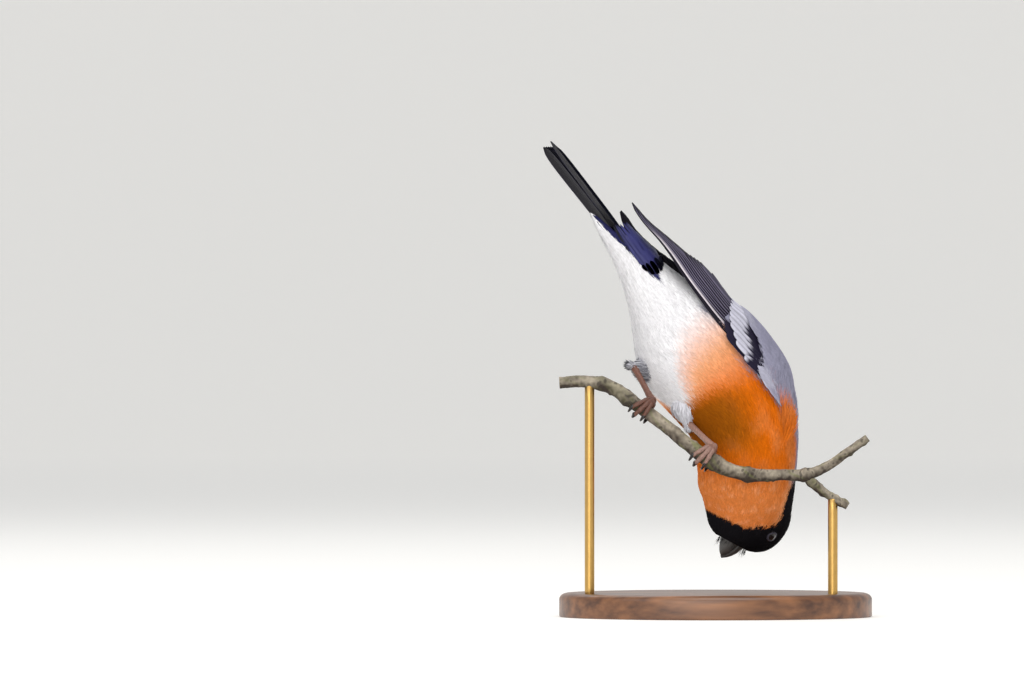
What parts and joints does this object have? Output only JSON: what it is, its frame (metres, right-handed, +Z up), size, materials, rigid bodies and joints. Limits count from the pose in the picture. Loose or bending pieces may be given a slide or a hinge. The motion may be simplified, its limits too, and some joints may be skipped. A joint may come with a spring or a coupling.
{
  "type": "bird model",
  "caption": "Still life-size model of a finch hanging head down from a cut twig, on an oval display base with two rods.",
  "frame": {"origin": "centre of the stand base's underside", "axes": "+Z up, +X along the twig towards its fork, -Y the side of the twig that faces away from the bird"},
  "size_m": [0.1097, 0.08, 0.1585],
  "materials": {
    "orange_plumage": "soft feathers",
    "black_plumage": "close glossy feathers",
    "white_plumage": "downy feathers",
    "eye": "polished",
    "horn": "smooth horn",
    "leg_skin": "scaled skin",
    "bark": "bark with lichen",
    "stand_wood": "satin varnish",
    "stand_brass": "satin"
  },
  "bodies": {
    "root": {"torso": "orange_plumage", "neck": "orange_plumage", "head": "black_plumage", "eye_left": "eye", "eye_right": "eye", "bill_upper": "horn", "bill_lower": "horn", "tail": "black_plumage", "tail_coverts": "black_plumage", "wing_left": "black_plumage", "wing_right": "black_plumage", "thigh_left": "white_plumage", "shank_left": "leg_skin", "foot_left": "leg_skin", "thigh_right": "white_plumage", "shank_right": "leg_skin", "foot_right": "leg_skin", "perch": "bark", "stand_base": "stand_wood", "stand_rod_left": "stand_brass", "stand_rod_right": "stand_brass"}
  },
  "joints": []
}
